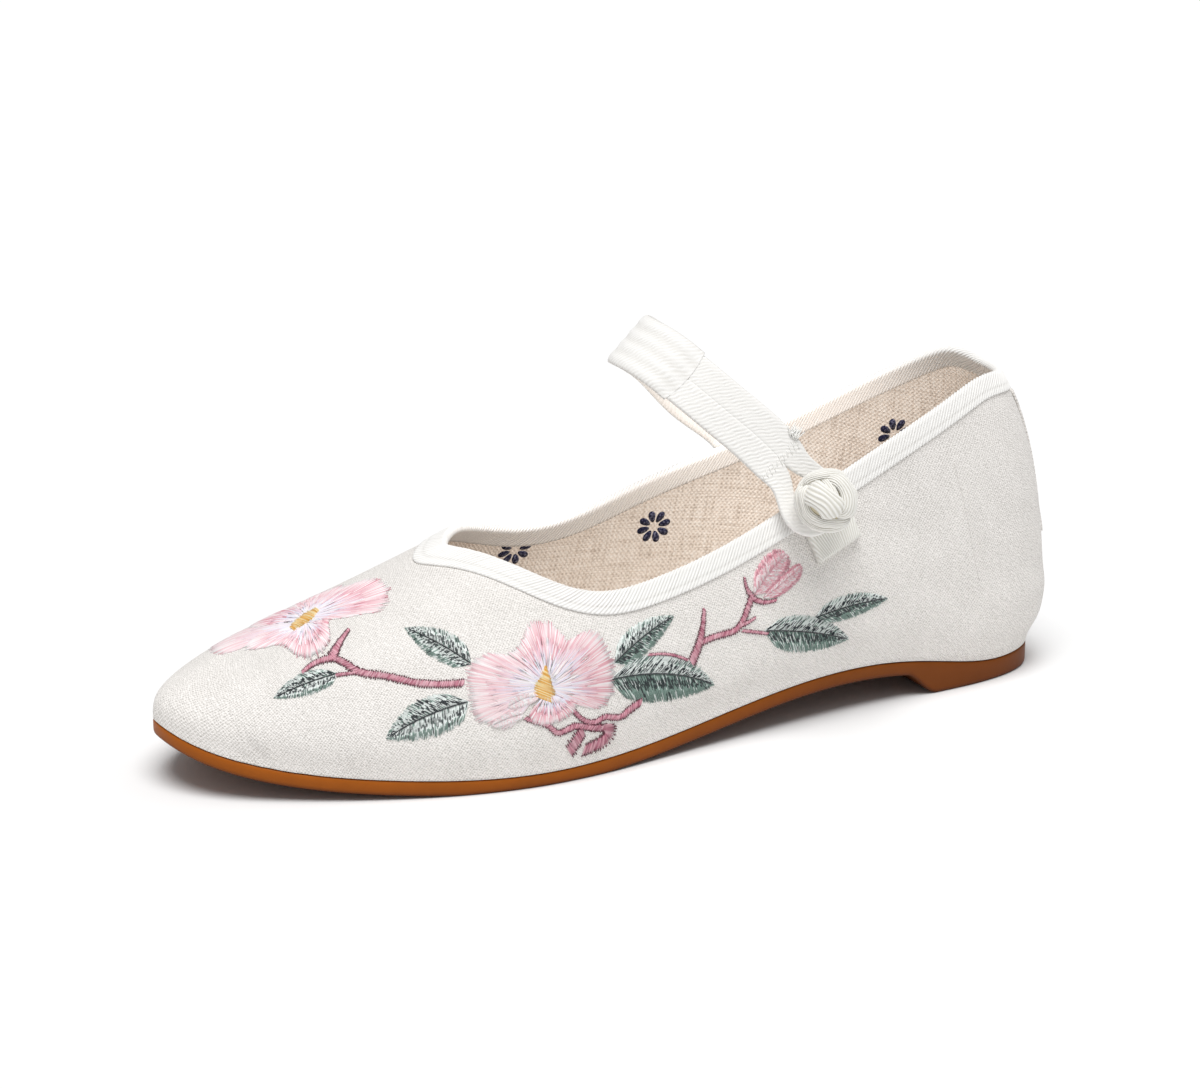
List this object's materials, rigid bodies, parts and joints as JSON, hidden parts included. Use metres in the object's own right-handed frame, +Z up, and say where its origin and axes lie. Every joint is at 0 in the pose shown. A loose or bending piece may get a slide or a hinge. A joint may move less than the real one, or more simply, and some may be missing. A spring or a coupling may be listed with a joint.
{
  "type": "embroidered cloth shoe",
  "caption": "Left cloth shoe with a hollow pointed-throat upper, bound collar, instep strap with button loop and knot, and a thin rubber sole with a low heel.",
  "frame": {"origin": "on the floor plane under the middle of the shoe's bounding box", "axes": "+Z up from the floor, +X from toe to heel, -Y to the outer side of the foot where the button is"},
  "size_m": [0.2446, 0.0828, 0.0995],
  "materials": {
    "sole_rubber": "semi-gloss amber brown rubber",
    "lining_linen": "plain linen weave",
    "upper_cotton": "matt off-white cotton",
    "twill_tape": "herringbone twill tape",
    "strap_tape": "ribbed tape",
    "knot_cord": "satin cord with a soft sheen"
  },
  "bodies": {
    "root": {"outsole": "sole_rubber", "insole": "lining_linen", "upper": "upper_cotton", "collar_binding": "twill_tape", "back_strip": "upper_cotton", "strap_band": "strap_tape", "button_loop": "strap_tape", "knot_button": "knot_cord", "knot_tab": "knot_cord"}
  },
  "joints": []
}
